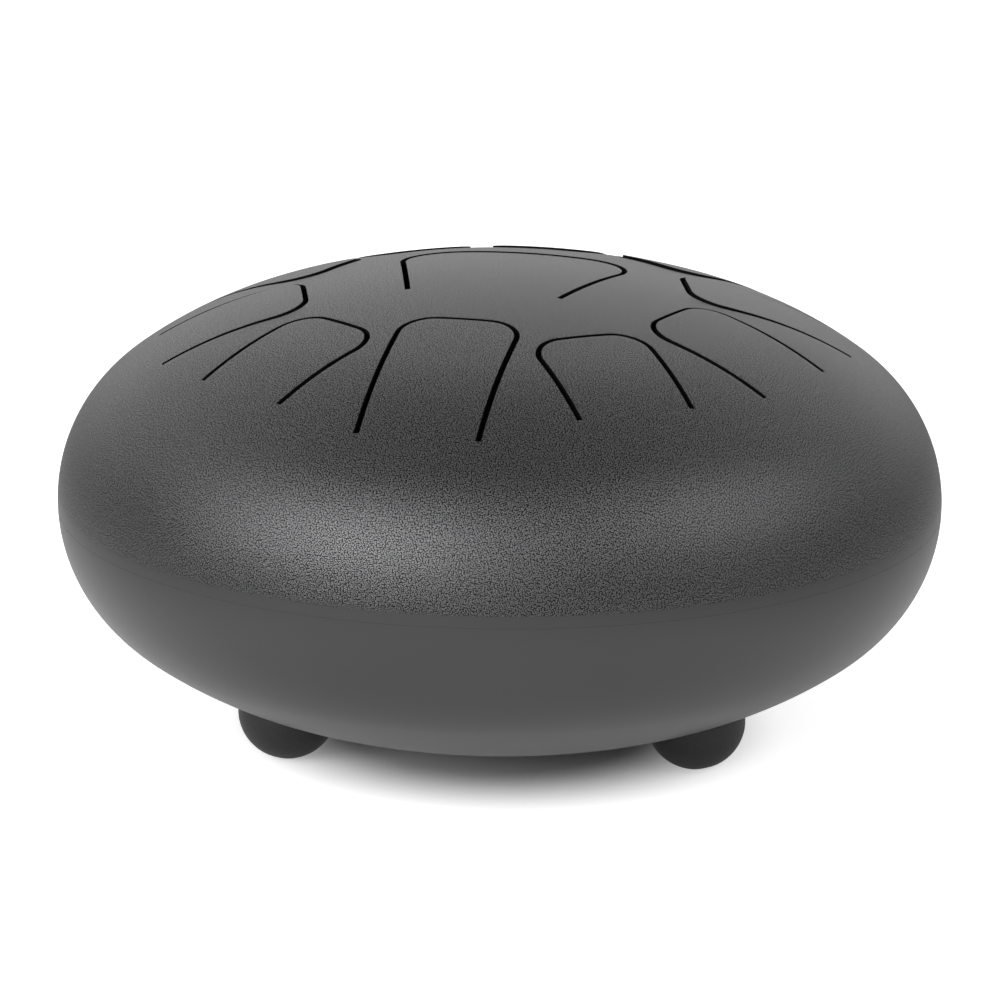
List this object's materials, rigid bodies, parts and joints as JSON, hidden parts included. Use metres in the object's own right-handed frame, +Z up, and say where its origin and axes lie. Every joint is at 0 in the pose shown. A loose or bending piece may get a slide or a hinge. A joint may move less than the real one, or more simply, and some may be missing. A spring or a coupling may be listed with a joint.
{
  "type": "steel tongue drum",
  "caption": "Lens-shaped steel tongue drum of two coated pressings welded at the rim, with U-slot tongues on top, a round sound port below and domed rubber feet.",
  "frame": {"origin": "on the floor under the drum's axis, level with the flats of the rubber feet", "axes": "+Z up along the drum's axis; -Y towards the front, along the ring's longest tongue; +X to the player's right"},
  "size_m": [0.3, 0.3, 0.1608],
  "materials": {
    "upper_coat": "dark grey powder coat with a fine metallic sparkle",
    "lower_coat": "dark grey powder coat, smoother than above the weld",
    "foot_rubber": "matt moulded rubber",
    "zinc": "bright zinc plate",
    "nylon": "natural white nylon"
  },
  "bodies": {
    "root": {"upper_shell": "upper_coat", "lower_shell": "lower_coat", "seam_weld": "lower_coat", "foot_front_left": "foot_rubber", "foot_front_right": "foot_rubber", "foot_rear": "foot_rubber", "foot_washer_front_left": "zinc", "foot_washer_front_right": "zinc", "foot_washer_rear": "zinc", "screw_front_left": "zinc", "screw_front_right": "zinc", "screw_rear": "zinc", "shell_washer_front_left": "zinc", "shell_washer_front_right": "zinc", "shell_washer_rear": "zinc", "nut_front_left": "zinc", "nut_front_right": "zinc", "nut_rear": "zinc", "nut_insert_front_left": "nylon", "nut_insert_front_right": "nylon", "nut_insert_rear": "nylon"}
  },
  "joints": []
}
